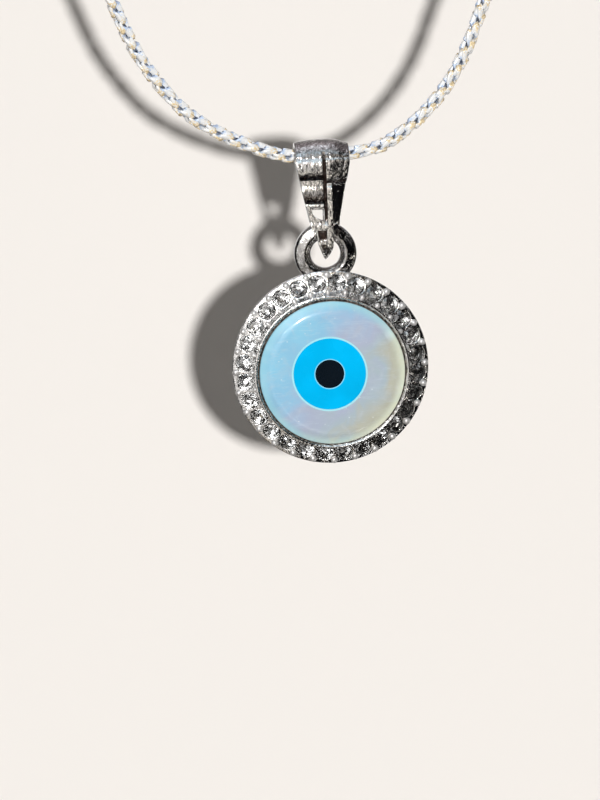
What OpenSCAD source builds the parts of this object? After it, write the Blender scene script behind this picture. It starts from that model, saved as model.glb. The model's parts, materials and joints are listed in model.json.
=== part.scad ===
// An evil eye pendant on a chain: a shell eye in a halo of stones, hung by a ring on a folded bail.
// The origin is the middle of the clasp, at the top of the chain. The pendant hangs below, and +Z is up.
// The eye looks along -Y.

/* [Eye] */
// Diameter of the mother-of-pearl disc
shell_d = 11.9; // [10.5:0.1:13]
// Thickness of the disc at its flat face
shell_t = 2.6; // [2.2:0.1:3]
// Height of the disc's face in front of the cup's ridge
shell_proud = 0.5; // [0.3:0.05:0.7]
// Width of the bevel round the disc's face
shell_bevel_w = 0.9; // [0.4:0.1:1.2]
// Depth of that bevel
shell_bevel_h = 0.45; // [0.3:0.05:0.6]
// Diameter of the blue inlay
iris_d = 5.9; // [5:0.1:6.8]
// Diameter of the black pupil
pupil_d = 2.35; // [1.8:0.05:3]
// Depth of both inlays
inlay_t = 0.6; // [0.4:0.05:0.8]
// How far the inlays sit to the left of the disc's middle, as the hand-made eye's do
inlay_shift = 0.25; // [0:0.05:0.4]
// Gap round each glued piece and stone
glue_gap = 0.02; // [0.01:0.01:0.04]

/* [Setting] */
// Height of the cup's ridge in front of the halo
cup_rise = 1.55; // [1:0.05:2]
// Thickness of the halo, front to back, beside the cup
halo_t = 2.05; // [1.8:0.05:2.4]
// Thickness of the plate behind the disc
back_t = 0.65; // [0.5:0.05:0.9]
// Width of the solid rim round the hollow back
back_rim_w = 2.4; // [2:0.1:3]
// Width of the polished slope between the disc and the ridge
bezel_w = 0.36; // [0.3:0.02:0.7]
// Height of that slope
bezel_h = 0.5; // [0.3:0.05:0.6]
// Width of the ridge between the slope and the stones
ridge_w = 0.05; // [0.04:0.01:0.2]
// Angle by which the halo falls away outwards
halo_tilt = 20; // [12:1:24]
// Width of the plain edge outside the stones
edge_w = 0.2; // [0.1:0.01:0.4]
// Bevel round the back edge
back_bevel = 0.15; // [0.05:0.05:0.3]

/* [Halo stones] */
// Diameter of each round stone
stone_d = 1.4; // [1.2:0.05:1.6]
// Least space from one stone to the next
stone_gap = 0.19; // [0.17:0.01:0.3]
// Depth of the girdle below the halo's surface
stone_sink = 0.05; // [0.02:0.01:0.1]
// Diameter of the outer beads that hold the stones
bead_out_d = 0.5; // [0.4:0.02:0.56]
// Diameter of the inner beads
bead_in_d = 0.38; // [0.3:0.02:0.42]

/* [Ring] */
// Outer diameter of the ring on top of the halo
ring_d = 5.1; // [4.6:0.1:5.6]
// Diameter of its hole
ring_hole_d = 2.4; // [2.4:0.1:2.7]
// Thickness of the ring, front to back
ring_t = 1.3; // [1:0.05:1.4]
// Width of the bevel round the hole
ring_bevel = 0.5; // [0.4:0.05:0.7]
// Height of the hole's lowest point above the halo
ring_rise = 0.15; // [0.05:0.05:0.5]

/* [Bail] */
// Thickness of the folded strip
strip_t = 0.5; // [0.4:0.05:0.7]
// Width of the bail at its top
bail_top_w = 4.4; // [3.6:0.1:5]
// Width of the bail at its base bar
bail_base_w = 2.3; // [1.9:0.1:2.8]
// Distance from the chain down to the base bar
bail_drop = 5.67; // [5:0.01:7]
// Width of the tongue just below the base bar
tongue_w = 1.6; // [1.2:0.1:1.8]
// Width of the tongue where it carries the ring
seat_w = 1.2; // [0.7:0.05:1.3]
// Length of the tongue's pointed end below the seat
tip_h = 1.4; // [1:0.05:1.6]
// Depth of the two hollows in the tongue's front
hollow_t = 0.18; // [0.1:0.02:0.25]
// Height of the ribs on the bail's front
rib_h = 0.2; // [0.1:0.02:0.3]
// Width of the groove down the middle
groove_w = 0.25; // [0.15:0.05:0.4]
// Depth of that groove
groove_t = 0.28; // [0.15:0.01:0.3]
// Width of the window beside the groove
window_w = 1; // [0.5:0.05:1.1]
// Height of the window
window_h = 1.05; // [0.7:0.05:1.3]
// How much lower the window lies in the back of the strip, so that the light shows through it from above
window_fall = 0.56; // [0.3:0.02:0.6]
// Gap between the bail and the ring, and between the bail and the chain
swing_gap = 0.13; // [0.1:0.01:0.2]

/* [Chain and clasp] */
// Diameter of the chain
chain_d = 1.1; // [0.9:0.05:1.3]
// Diameter of the barrel clasp
clasp_d = 2.6; // [2:0.1:3.2]
// Length of the barrel clasp
clasp_l = 8; // [7:0.5:8]
// Width of the collar at each end of the clasp
collar_w = 0.8; // [0.5:0.1:1.2]
// Gap between the clasp and each end of the chain
clasp_gap = 0.11; // [0.09:0.01:0.12]

/* [Hidden] */
// The chain's route, x and height above the bail, from the clasp's left end round to its right end.
chain_top = 160;
CHAIN_ROUTE = [
    [-4, 159.8], [-13, 158.3], [-22, 154.9], [-30.5, 149.6], [-38, 142.5], [-44, 133.7], [-48, 124],
    [-50, 113], [-49.6, 103], [-47, 92.5], [-39.3, 72.5], [-31.5, 52.5], [-23.8, 32.5], [-18.6, 19.2],
    [-16.4, 13.4], [-14.8, 9.5], [-13, 6.6], [-10.9, 4.1], [-8.4, 2.3], [-6, 1.1], [-3.9, 0.3],
    [-2.4, 0], [0, 0], [2.6, 0], [5, 0.5], [7.4, 2], [9.6, 4.1], [11.2, 6.3], [12.4, 8.6],
    [13.4, 11.1], [14.6, 14], [16.7, 19.2], [22.1, 32.3], [30.3, 52.3], [38.4, 72], [46.2, 91.5],
    [49.4, 102.5], [50, 113], [48, 124], [44, 133.7], [38, 142.5], [30.5, 149.6], [22, 154.9],
    [13, 158.3], [4, 159.8],
];
// Longest step between two rings of the tube
chain_step = 6;
chain_sides = 8;

// Places along Y of the setting, measured from the ring's middle plane, which is at 0.
foot_y = -1.3;
ridge_y = foot_y - cup_rise;
shell_r = shell_d / 2;
cup_r = shell_r + glue_gap;
ridge_in_r = cup_r + bezel_w;
ridge_out_r = ridge_in_r + ridge_w;
seat_r = stone_d / 2 + glue_gap;
stone_ring_r = ridge_out_r + seat_r;
halo_r = stone_ring_r + seat_r + edge_w;
shell_front_y = ridge_y - shell_proud;
cup_floor_y = shell_front_y + shell_t + glue_gap;
back_y = foot_y + halo_t;
function halo_y(r) = foot_y + (r - ridge_out_r) * tan(halo_tilt);

// Places of the bail's features, measured up from the chain's middle.
ring_r = ring_d / 2;
hole_r = ring_hole_d / 2;
arch_r = chain_d / 2 + swing_gap + 0.5;
arch_z = chain_d / 2 + swing_gap - arch_r;
loop_r = ring_t / 2 + swing_gap + 0.02;
bar_t = 0.15;
ring_drop = bail_drop + ring_r;
// The seat's corners clear the ring's round hole by this gap.
seat_gap = 0.08;
seat_z = -ring_drop + sqrt(pow(hole_r, 2) - pow(seat_w / 2, 2)) - seat_gap;
loop_z = seat_z + loop_r;
tip_z = seat_z - tip_h;
window_z = -bail_drop + 0.38;
groove_x = 0.1;
spine_w = 0.42;

// Heights of the bail's chain, the ring and the halo.
bail_z = -chain_top;
ring_z = bail_z - ring_drop;
halo_z = ring_z - hole_r - ring_rise - halo_r;

// The stones of the halo, spread evenly, with a bead at the very top.
stone_count = floor(2 * PI * stone_ring_r / (stone_d + stone_gap));
stone_step = 360 / stone_count;
STONES = [for (i = [0:stone_count - 1]) i];
function stone_name(i) = str("halo_stone_", i < 9 ? "0" : "", i + 1);

silver = [0.82, 0.83, 0.85];
far = 20;
round_fn = 96;

// Points of an arc in the plane of a profile.
function arc(centre, r, from, to, steps = 14) = [
    for (i = [0:steps])
        let (a = from + (to - from) * i / steps)
        centre + r * [cos(a), sin(a)]
];

// Turns a profile of (radius, y) about the Y axis.
module turned(profile, fn = round_fn) rotate([-90, 0, 0]) rotate_extrude($fn = fn) polygon(profile);

// Extrudes a side profile of (y, z) across X.
module across(width) rotate([90, 0, 90]) translate([0, 0, -width / 2]) linear_extrude(width) children();

// Extrudes a front outline of (x, z) through Y.
module through(depth) rotate([90, 0, 0]) translate([0, 0, -depth / 2]) linear_extrude(depth) children();

// Puts its children at the angle a round the halo, on its sloping surface, facing outwards from it.
module on_halo(a, r, lift = 0)
    translate([0, 0, halo_z])
    rotate([0, a, 0])
    translate([0, halo_y(r), r])
    rotate([90 - halo_tilt, 0, 0])
    translate([0, 0, lift])
    children();

// Chain
function between(a, b, c, d, t) = 0.5 * (
    2 * b + (c - a) * t + (2 * a - 5 * b + 4 * c - d) * t * t + (3 * b - a - 3 * c + d) * t * t * t
);
last = len(CHAIN_ROUTE) - 1;
function route_point(i) =
    i < 0 ? 2 * CHAIN_ROUTE[0] - CHAIN_ROUTE[1]
    : i > last ? 2 * CHAIN_ROUTE[last] - CHAIN_ROUTE[last - 1]
    : CHAIN_ROUTE[i];
chain_path = concat(
    [
        for (i = [0:last - 1])
            let (steps = ceil(norm(CHAIN_ROUTE[i + 1] - CHAIN_ROUTE[i]) / chain_step))
            for (k = [0:steps - 1])
                between(route_point(i - 1), route_point(i), route_point(i + 1), route_point(i + 2), k / steps)
    ],
    [CHAIN_ROUTE[last]]
);
chain_rings = len(chain_path);
function heading(i) =
    let (step = chain_path[min(i + 1, chain_rings - 1)] - chain_path[max(i - 1, 0)])
    step / norm(step);

module chain() {
    points = [
        for (i = [0:chain_rings - 1])
            let (p = chain_path[i], t = heading(i))
            for (j = [0:chain_sides - 1])
                let (a = 360 * j / chain_sides, out = chain_d / 2 * cos(a))
                [p[0] - t[1] * out, chain_d / 2 * sin(a), p[1] + t[0] * out]
    ];
    sides = [
        for (i = [0:chain_rings - 2])
            for (j = [0:chain_sides - 1])
                let (k = (j + 1) % chain_sides, a = i * chain_sides, b = a + chain_sides)
                [a + j, a + k, b + k, b + j]
    ];
    start = [for (j = [chain_sides - 1:-1:0]) j];
    end = [for (j = [0:chain_sides - 1]) (chain_rings - 1) * chain_sides + j];
    color(silver)
    translate([0, 0, bail_z])
    polyhedron(points, concat(sides, [start, end]), convexity = 10);
}

// Clasp
module clasp() {
    half = clasp_l / 2 - clasp_gap;
    waist = clasp_d / 2 - 0.2;
    shoulder = clasp_d / 2;
    neck = chain_d / 2 + 0.25;
    profile = [
        [0, -half], [neck, -half], [shoulder, -half + 0.5], [shoulder, -half + 0.5 + collar_w],
        [waist, -half + 0.7 + collar_w], [waist, half - 0.7 - collar_w],
        [shoulder, half - 0.5 - collar_w], [shoulder, half - 0.5], [neck, half], [0, half],
    ];
    color(silver)
    rotate([0, 0, 90])
    turned(profile, 48);
}

// Bail
lean = asin((arch_r - loop_r) / (arch_z - loop_z));
function front_y(z) = -loop_r - strip_t - (z - loop_z) * tan(lean);

// The strip's inner outline: an arch over the chain and a loop under the ring.
module strip_inside() polygon(concat(
    arc([0, arch_z], arch_r, -lean, 180 + lean),
    arc([0, loop_z], loop_r, 180 + lean, 360 - lean)
));

// The strip's outer outline, or one that lies that far inside it.
module strip_outside(inset = 0) polygon(concat(
    arc([0, arch_z], arch_r + strip_t - inset, -lean, 180 + lean),
    arc([0, tip_z + loop_r + strip_t], loop_r + strip_t - inset, 180, 360)
));

// The strip's side view, thick at the foot, where the tongue is pointed.
module strip_side() difference() {
    strip_outside();
    strip_inside();
}

// The side view of a rib that swells from the strip's front between two heights.
module rib_side(z0, z1, depth, steps = 6) polygon(concat(
    [
        for (i = [0:steps])
            let (t = i / steps, z = z0 + (z1 - z0) * t)
            [front_y(z) - depth * 4 * t * (1 - t), z]
    ],
    [[front_y(z1) + strip_t / 2, z1], [front_y(z0) + strip_t / 2, z0]]
));

// The ribs of the left half: their edges, as shares of the way from the arch down to the window, and heights.
RIBS = [[-0.12, 0.36, rib_h], [0.5, 0.9, rib_h], [0.9, 1, rib_h / 2]];
function rib_z(share) = arch_z + share * (window_z + window_h + 0.1 - arch_z);
facet_share = 0.44;
spine_top = rib_z(facet_share);

module rib(x0, x1, z0, z1, depth)
    translate([(x0 + x1) / 2, 0, 0])
    across(x1 - x0)
    rib_side(z0, z1, depth);

// The rib that runs down beside the groove and on into the tongue.
module spine_side() polygon([
    [front_y(spine_top), spine_top], [front_y(spine_top) - rib_h, spine_top - 0.4],
    [front_y(tip_z) - rib_h, tip_z], [front_y(tip_z) + strip_t / 2, tip_z],
    [front_y(spine_top) + strip_t / 2, spine_top],
]);

// The bail seen from the front: a tapered shield that ends in a pointed tongue.
module bail_outline() polygon([
    [-bail_top_w / 2, far], [-bail_top_w / 2, arch_z], [-bail_base_w / 2, -bail_drop],
    [-bail_base_w / 2, -bail_drop - bar_t], [-tongue_w / 2, -bail_drop - bar_t - 0.05],
    [-seat_w / 2, seat_z], [-0.1, tip_z], [0.1, tip_z], [seat_w / 2, seat_z],
    [tongue_w / 2, -bail_drop - bar_t - 0.05], [bail_base_w / 2, -bail_drop - bar_t],
    [bail_base_w / 2, -bail_drop], [bail_top_w / 2, arch_z], [bail_top_w / 2, far],
]);

// A quarter of an oval, with its straight sides along its top and along the groove.
module bail_window()
    translate([groove_x, window_z + window_h])
    polygon(concat([[0, 0]], [for (a = [180:10:270]) [window_w * cos(a), window_h * sin(a)]]));

// All that lies in front of the groove's floor.
module groove_side() {
    top = front_y(arch_z) + groove_t;
    foot = -bail_drop + 0.3;
    polygon([[-far, far], [top, far], [top, arch_z], [front_y(foot) + groove_t, foot], [-far, foot]]);
}

// The tongue's two hollows: one between the base bar and the seat, and a V below the seat.
module hollow_outlines() {
    rim = 0.2;
    top = -bail_drop - bar_t;
    bar = seat_z + 0.3;
    polygon([
        [-tongue_w / 2 + rim, top], [-seat_w / 2 + rim / 2, bar], [groove_x, bar], [groove_x, top],
    ]);
    polygon([[-seat_w / 2 + rim, seat_z], [0, tip_z + rim], [seat_w / 2 - rim, seat_z]]);
}

// What lies in front of the hollows' floor, which follows the strip's front.
module hollows() intersection() {
    through(far) hollow_outlines();
    across(far) difference() {
        polygon([[-far, -far], [-0.5, -far], [-0.5, 0], [-far, 0]]);
        strip_outside(hollow_t);
    }
}

module bail() {
    spine_x = groove_x + groove_w / 2 + spine_w;
    color(silver)
    translate([0, 0, bail_z])
    difference() {
        intersection() {
            union() {
                across(far) strip_side();
                for (r = RIBS) rib(-far, groove_x, rib_z(r[0]), rib_z(r[1]), r[2]);
                rib(groove_x, far, rib_z(RIBS[0][0]), rib_z(facet_share), rib_h * 0.8);
                rib(-far, far, -bail_drop + 0.25, -bail_drop - bar_t, rib_h);
                translate([(groove_x + spine_x) / 2, 0, 0]) across(spine_x - groove_x) spine_side();
            }
            through(far) bail_outline();
        }
        translate([groove_x, 0, 0]) across(groove_w) groove_side();
        translate([0, -far / 2, 0]) through(far) bail_window();
        translate([0, far / 2, -window_fall]) through(far) bail_window();
        hollows();
    }
}

// Setting: the cup, the halo and the ring, cast as one.
module ring_body() {
    half = ring_t / 2;
    edge = 0.15;
    translate([0, 0, ring_z])
    turned([
        [hole_r, -half + ring_bevel * 0.8], [hole_r + ring_bevel, -half], [ring_r - edge, -half],
        [ring_r, -half + edge], [ring_r, half - edge], [ring_r - edge, half],
        [hole_r + ring_bevel, half], [hole_r, half - ring_bevel * 0.8],
    ]);
}

module halo_body() translate([0, 0, halo_z]) turned([
    [0, cup_floor_y], [cup_r, cup_floor_y], [cup_r, ridge_y + bezel_h], [ridge_in_r, ridge_y],
    [ridge_out_r, ridge_y], [ridge_out_r, foot_y], [halo_r, halo_y(halo_r)], [halo_r, back_y - back_bevel],
    [halo_r - back_bevel, back_y], [halo_r - back_rim_w, back_y],
    [halo_r - back_rim_w - back_bevel, cup_floor_y + back_t], [0, cup_floor_y + back_t],
]);

// Height of a stone's crown, its girdle and its pavilion, and the depth of its seat.
crown_h = 0.16 * stone_d;
girdle_h = 0.03 * stone_d;
pavilion_h = 0.42 * stone_d;

module stone_seat() {
    gap = 2 * glue_gap;
    rotate_extrude($fn = 32)
    polygon([
        [0, -pavilion_h - girdle_h - gap], [0.1, -pavilion_h - girdle_h - gap], [seat_r, -girdle_h - gap],
        [seat_r, 2 * crown_h], [0, 2 * crown_h],
    ]);
}

bead_out_r = halo_r - bead_out_d / 2;
bead_in_r = ridge_in_r + bead_in_d / 2;

module beads() for (i = STONES) {
    on_halo(i * stone_step, bead_out_r) sphere(d = bead_out_d, $fn = 24);
    on_halo(i * stone_step, bead_in_r) sphere(d = bead_in_d, $fn = 24);
}

module setting() color(silver) {
    difference() {
        union() {
            ring_body();
            halo_body();
        }
        for (i = STONES) on_halo((i + 0.5) * stone_step, stone_ring_r, -stone_sink) stone_seat();
    }
    beads();
}

// Eye
module shell_disc() color([0.7, 0.83, 0.88]) difference() {
    translate([0, 0, halo_z])
    turned([
        [0, shell_front_y], [shell_r - shell_bevel_w, shell_front_y],
        [shell_r, shell_front_y + shell_bevel_h], [shell_r, shell_front_y + shell_t],
        [0, shell_front_y + shell_t],
    ]);
    inlay(iris_d / 2 + glue_gap, far, inlay_t + glue_gap);
}

// A round plug, a little left of the disc's middle, whose front stands front mm before the disc's face.
module inlay(r, front, depth)
    translate([-inlay_shift, shell_front_y + depth, halo_z])
    rotate([90, 0, 0])
    cylinder(r = r, h = depth + front, $fn = round_fn);

module blue_iris() color([0, 0.72, 0.99]) difference() {
    inlay(iris_d / 2, 0, inlay_t);
    inlay(pupil_d / 2 + glue_gap, far, far);
}

module black_pupil() color([0.02, 0.08, 0.13]) inlay(pupil_d / 2, 0, inlay_t);

// Halo stones, cut with a table, a crown and a pavilion of eight mains each.
function stone_ring(count, r, z, turn = 0) = [
    for (i = [0:count - 1])
        let (a = 360 * (i + turn) / count)
        [r * cos(a), r * sin(a), z]
];

module halo_stone(i) {
    r = stone_d / 2;
    points = concat(
        stone_ring(8, 0.57 * r, crown_h),
        stone_ring(8, 0.8 * r, 0.6 * crown_h, 0.5),
        stone_ring(16, r, 0),
        stone_ring(16, r, -girdle_h),
        stone_ring(8, 0.5 * r, -girdle_h - 0.5 * pavilion_h, 0.5),
        [[0, 0, -girdle_h - pavilion_h]]
    );
    table = [for (k = [7:-1:0]) k];
    crown = [
        for (k = [0:7])
            let (n = (k + 1) % 8, m = 8 + k, g = 16 + 2 * k, h = g + 1, e = 16 + (2 * k + 2) % 16)
            for (f = [[k, n, m], [k, m, g], [n, e, m], [m, h, g], [m, e, h]]) f
    ];
    girdle = [
        for (k = [0:15])
            let (n = (k + 1) % 16)
            [16 + k, 16 + n, 32 + n, 32 + k]
    ];
    pavilion = [
        for (k = [0:7])
            let (m = 48 + k, g = 32 + 2 * k, h = g + 1, e = 32 + (2 * k + 2) % 16)
            for (f = [[m, g, h], [m, h, e], [m, 56, g], [m, e, 56]]) f
    ];
    color([0.9, 0.94, 0.97])
    on_halo((i + 0.5) * stone_step, stone_ring_r, -stone_sink)
    polyhedron(points, concat([table], crown, girdle, pavilion), convexity = 2);
}

chain();
clasp();
bail();
setting();
shell_disc();
blue_iris();
black_pupil();
for (i = STONES) halo_stone(i);
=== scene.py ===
"""An add-on that finishes an evil eye pendant: woven silver chain, folded bail, stone halo and shell eye.

Each operator makes one piece, or one group of like pieces, on the model's own frame, in metres, with +Z up
and the eye looking along -Y. Lengths inside the script are in millimetres until a mesh is made.
"""
import json
import math

import bpy
import numpy as np
from mathutils import Matrix, Vector


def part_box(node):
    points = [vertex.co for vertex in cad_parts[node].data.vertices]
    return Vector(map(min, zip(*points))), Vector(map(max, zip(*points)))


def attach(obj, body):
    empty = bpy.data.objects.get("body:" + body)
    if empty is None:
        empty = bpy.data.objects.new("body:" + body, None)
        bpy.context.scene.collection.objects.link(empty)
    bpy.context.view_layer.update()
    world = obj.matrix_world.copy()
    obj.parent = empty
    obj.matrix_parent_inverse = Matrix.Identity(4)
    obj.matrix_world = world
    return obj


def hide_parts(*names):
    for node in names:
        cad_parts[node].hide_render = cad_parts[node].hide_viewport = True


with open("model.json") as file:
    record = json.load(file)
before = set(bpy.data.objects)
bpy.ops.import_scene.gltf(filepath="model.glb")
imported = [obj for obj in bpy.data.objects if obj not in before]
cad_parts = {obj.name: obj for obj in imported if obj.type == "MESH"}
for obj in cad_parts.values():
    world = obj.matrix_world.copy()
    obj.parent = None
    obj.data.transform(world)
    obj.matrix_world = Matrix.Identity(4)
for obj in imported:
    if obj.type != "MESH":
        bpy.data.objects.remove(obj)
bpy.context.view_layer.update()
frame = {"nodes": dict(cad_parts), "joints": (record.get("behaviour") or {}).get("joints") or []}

bl_info = {
    "name": "Evil Eye Pendant",
    "version": (1, 0, 0),
    "blender": (4, 5, 0),
    "location": "View3D > Sidebar > Pendant",
    "description": "Finishes an evil eye pendant on a woven chain",
    "category": "Object",
}

MM = 0.001


def node_box(name):
    """The lowest and highest corner of a node, in millimetres."""
    low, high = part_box(name)
    return np.array(low) / MM, np.array(high) / MM


def half_across(name):
    """Half a node's width, in millimetres."""
    low, high = node_box(name)
    return (high[0] - low[0]) / 2


DISC_LOW, DISC_HIGH = node_box("shell_disc")
IRIS_LOW, IRIS_HIGH = node_box("blue_iris")
SETTING_LOW, SETTING_HIGH = node_box("setting")
CLASP_HIGH = node_box("clasp")[1]
DISC_R, IRIS_R, PUPIL_R, HALO_R = map(half_across, ("shell_disc", "blue_iris", "black_pupil", "setting"))
STONES = sorted(name for name in frame["nodes"] if name.startswith("halo_stone_"))
EYE_Z = (DISC_LOW[2] + DISC_HIGH[2]) / 2
EYE = (0, 0, EYE_Z)
INLAY_X = (IRIS_LOW[0] + IRIS_HIGH[0]) / 2
JOINT_POINTS = {joint["name"]: np.array(joint["pos_m"]) / MM for joint in frame["joints"]}
RING_Z = JOINT_POINTS["drop_swing"][2]
BAIL_Z = JOINT_POINTS["bail_swing"][2]
BAIL_TIP, BAIL_TOP = [corner[2] - BAIL_Z for corner in node_box("bail")]

# The chain's route, x and height above the bail, from the clasp's left end round to its right end.
CHAIN_ROUTE = np.array([
    (-4, 159.8), (-13, 158.3), (-22, 154.9), (-30.5, 149.6), (-38, 142.5), (-44, 133.7), (-48, 124),
    (-50, 113), (-49.6, 103), (-47, 92.5), (-39.3, 72.5), (-31.5, 52.5), (-23.8, 32.5), (-18.6, 19.2),
    (-16.4, 13.4), (-14.8, 9.5), (-13, 6.6), (-10.9, 4.1), (-8.4, 2.3), (-6, 1.1), (-3.9, 0.3),
    (-2.4, 0), (0, 0), (2.6, 0), (5, 0.5), (7.4, 2), (9.6, 4.1), (11.2, 6.3), (12.4, 8.6),
    (13.4, 11.1), (14.6, 14), (16.7, 19.2), (22.1, 32.3), (30.3, 52.3), (38.4, 72), (46.2, 91.5),
    (49.4, 102.5), (50, 113), (48, 124), (44, 133.7), (38, 142.5), (30.5, 149.6), (22, 154.9),
    (13, 158.3), (4, 159.8),
])


# Sizes and colours that a user would change

def length(name, description, default, low, high):
    """A property that is a length in metres, between two limits."""
    return bpy.props.FloatProperty(
        name=name, description=description, default=default, min=low, max=high, precision=6,
        subtype="DISTANCE", unit="LENGTH",
    )


def paint(name, description, default):
    """A property that is an opaque colour."""
    return bpy.props.FloatVectorProperty(
        name=name, description=description, subtype="COLOR", size=4, default=(*default, 1), min=0, max=1,
    )


class PendantSizes(bpy.types.PropertyGroup):
    """Sizes of what the finish adds, in metres."""

    link_pitch: length(
        "Link pitch", "Distance from one link of the chain to the next", 0.00075, 0.0006, 0.0012,
    )
    link_wire: length("Link wire", "Diameter of the chain's wire", 0.00044, 0.0002, 0.0005)
    bezel_width: length("Bezel width", "Width of the polished slope round the disc", 0.00036, 0.0002, 0.0008)
    bead_size: length("Bead size", "Diameter of the outer beads that hold the stones", 0.0006, 0.0003, 0.0007)
    edge_softness: length("Edge softness", "Radius of the polished edges", 0.00007, 0.00001, 0.0001)


class PendantColours(bpy.types.PropertyGroup):
    """Colours of the finish."""

    silver: paint("Silver", "Colour of the polished silver", (0.9, 0.88, 0.86))
    wire: paint("Wire", "Colour of the chain's wire", (1.0, 1.0, 0.99))
    blue: paint("Blue", "Colour of the blue inlay", (0.0, 0.54, 1.0))
    pupil: paint("Pupil", "Colour of the black inlay", (0.0015, 0.006, 0.012))
    backdrop: paint("Backdrop", "Colour of the floor and the backdrop", (0.915, 0.871, 0.823))


# Surfaces

# Steps round the clasp, the ring, the disc and its two inlays.
CLASP_STEPS, RING_STEPS, DISC_STEPS, IRIS_STEPS, PUPIL_STEPS = 96, 128, 192, 160, 128


def grid_faces(rows, columns, wrap_rows=False):
    """Quads of a grid of points whose columns run all the way round, and whose rows may too."""
    row = np.arange(rows if wrap_rows else rows - 1)[:, None]
    column = np.arange(columns)[None, :]
    beside, above = (column + 1) % columns, (row + 1) % rows
    here, there = row * columns, above * columns
    return np.stack([here + column, here + beside, there + beside, there + column], -1).reshape(-1, 4)


def outward(points, faces):
    """The faces of a closed surface, turned round if the volume that they enclose comes out negative.

    The volume is a sixth of the sum, over the triangles that fan out from each face's first corner, of the
    triple product of their corners.
    """
    volume = 0.0
    for block in faces:
        for k in range(1, block.shape[1] - 1):
            a, b, c = points[block[:, 0]], points[block[:, k]], points[block[:, k + 1]]
            volume += np.einsum("ij,ij->", a, np.cross(b, c))
    return faces if volume > 0 else [block[:, ::-1] for block in faces]


def filleted(corners, radius, steps=5):
    """A profile whose inner corners are rounded.

    Each corner P becomes the curve (1-t)^2 A + 2t(1-t) P + t^2 B, where A and B lie on the sides that meet
    at P, at the given radius or 40% of the shorter side from it, whichever is less. Two more points, a
    quarter of that further out, keep the flats flat when the surface is shaded smooth.
    """
    corners = np.asarray(corners, float)
    radii = np.broadcast_to(radius, len(corners))
    t = np.linspace(0, 1, steps + 1)[:, None]
    rows = [corners[:1]]
    for i in range(1, len(corners) - 1):
        to_last, to_next = corners[i - 1] - corners[i], corners[i + 1] - corners[i]
        last_length, next_length = np.linalg.norm(to_last), np.linalg.norm(to_next)
        reach = min(radii[i], 0.4 * last_length, 0.4 * next_length)
        before = corners[i] + to_last / last_length * reach
        after = corners[i] + to_next / next_length * reach
        bend = (1 - t) ** 2 * before + 2 * t * (1 - t) * corners[i] + t ** 2 * after
        lead = before + to_last / last_length * reach * 0.25
        trail = after + to_next / next_length * reach * 0.25
        rows += [lead[None], bend, trail[None]]
    return np.concatenate(rows + [corners[-1:]])


def ring_profile(corners, radius):
    """The profile of a ring, closed onto itself, whose corners are all rounded."""
    return filleted(corners[-1:] + corners + corners[:1], radius)[1:-1]


def lathe(profile, steps, height=None):
    """A profile of (radius, y) turned about the Y axis: the point at angle a is (r sin a, y, r cos a).

    height, an array of rows by steps, is added to y. A profile that starts or ends on the axis is closed
    there with a fan, and one that does neither is a ring, closed onto itself.
    """
    on_axis = profile[:, 0] < 1e-9
    rings = profile[~on_axis]
    angle = np.arange(steps) * 2 * np.pi / steps
    radius, y = rings[:, :1], rings[:, 1:2] + (0 if height is None else height)
    points = np.stack([radius * np.sin(angle), y + 0 * angle, radius * np.cos(angle)], -1).reshape(-1, 3)
    faces = [grid_faces(len(rings), steps, wrap_rows=not on_axis.any())]
    turn = np.arange(steps)
    poles = []
    for end, first in ((0, 0), (-1, (len(rings) - 1) * steps)):
        if on_axis[end]:
            pole = np.full(steps, len(points) + len(poles))
            near, far = first + turn, first + (turn + 1) % steps
            fan = [pole, far, near] if end == 0 else [pole, near, far]
            faces.append(np.stack(fan, -1))
            poles.append([0, profile[end, 1], 0])
    points = np.concatenate([points, np.array(poles).reshape(-1, 3)])
    return points, outward(points, faces)


def swept_loops(centres, across, along, wire, sides):
    """Round wire carried along many closed loops at once.

    centres is loops by steps by 3. At each step the wire's circle lies in the plane of the vectors across and
    along, whose lengths flatten it, and its point j is the centre plus r (cos b across + sin b along) with
    b = 2 pi j / sides.
    """
    loops, steps = centres.shape[:2]
    b = np.arange(sides) * 2 * np.pi / sides
    circle = np.cos(b)[:, None] * across[:, :, None] + np.sin(b)[:, None] * along[:, :, None]
    points = centres[:, :, None] + wire / 2 * circle
    one = grid_faces(steps, sides, wrap_rows=True)
    first = np.arange(loops)[:, None, None] * steps * sides
    faces = (one[None] + first).reshape(-1, 4)
    return points.reshape(-1, 3), outward(points.reshape(-1, 3), [faces])


def moved(part, offset, turn=None):
    """A part turned by a 3 by 3 matrix, if there is one, and then moved by an offset."""
    points, faces = part
    if turn is not None:
        points = points @ np.asarray(turn).T
    return points + np.asarray(offset), faces


def new_mesh(name, points, blocks, shade=None):
    """A smooth mesh from points, in millimetres, and blocks of faces.

    The shade, if there is one, is a number from 0 to 1 on each point, which its silver turns into a colour.
    """
    mesh = bpy.data.meshes.new(name)
    mesh.from_pydata((points * MM).tolist(), [], [face for block in blocks for face in block.tolist()])
    mesh.polygons.foreach_set("use_smooth", np.full(len(mesh.polygons), True))
    if shade is not None:
        mesh.attributes.new("shade", "FLOAT", "POINT").data.foreach_set("value", np.ravel(shade))
    return mesh


def linked(name, data):
    """A new object in the scene."""
    obj = bpy.data.objects.new(name, data)
    bpy.context.scene.collection.objects.link(obj)
    return obj


def dress(mesh, material):
    """Gives a mesh one material."""
    mesh.materials.clear()
    mesh.materials.append(material)


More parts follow.
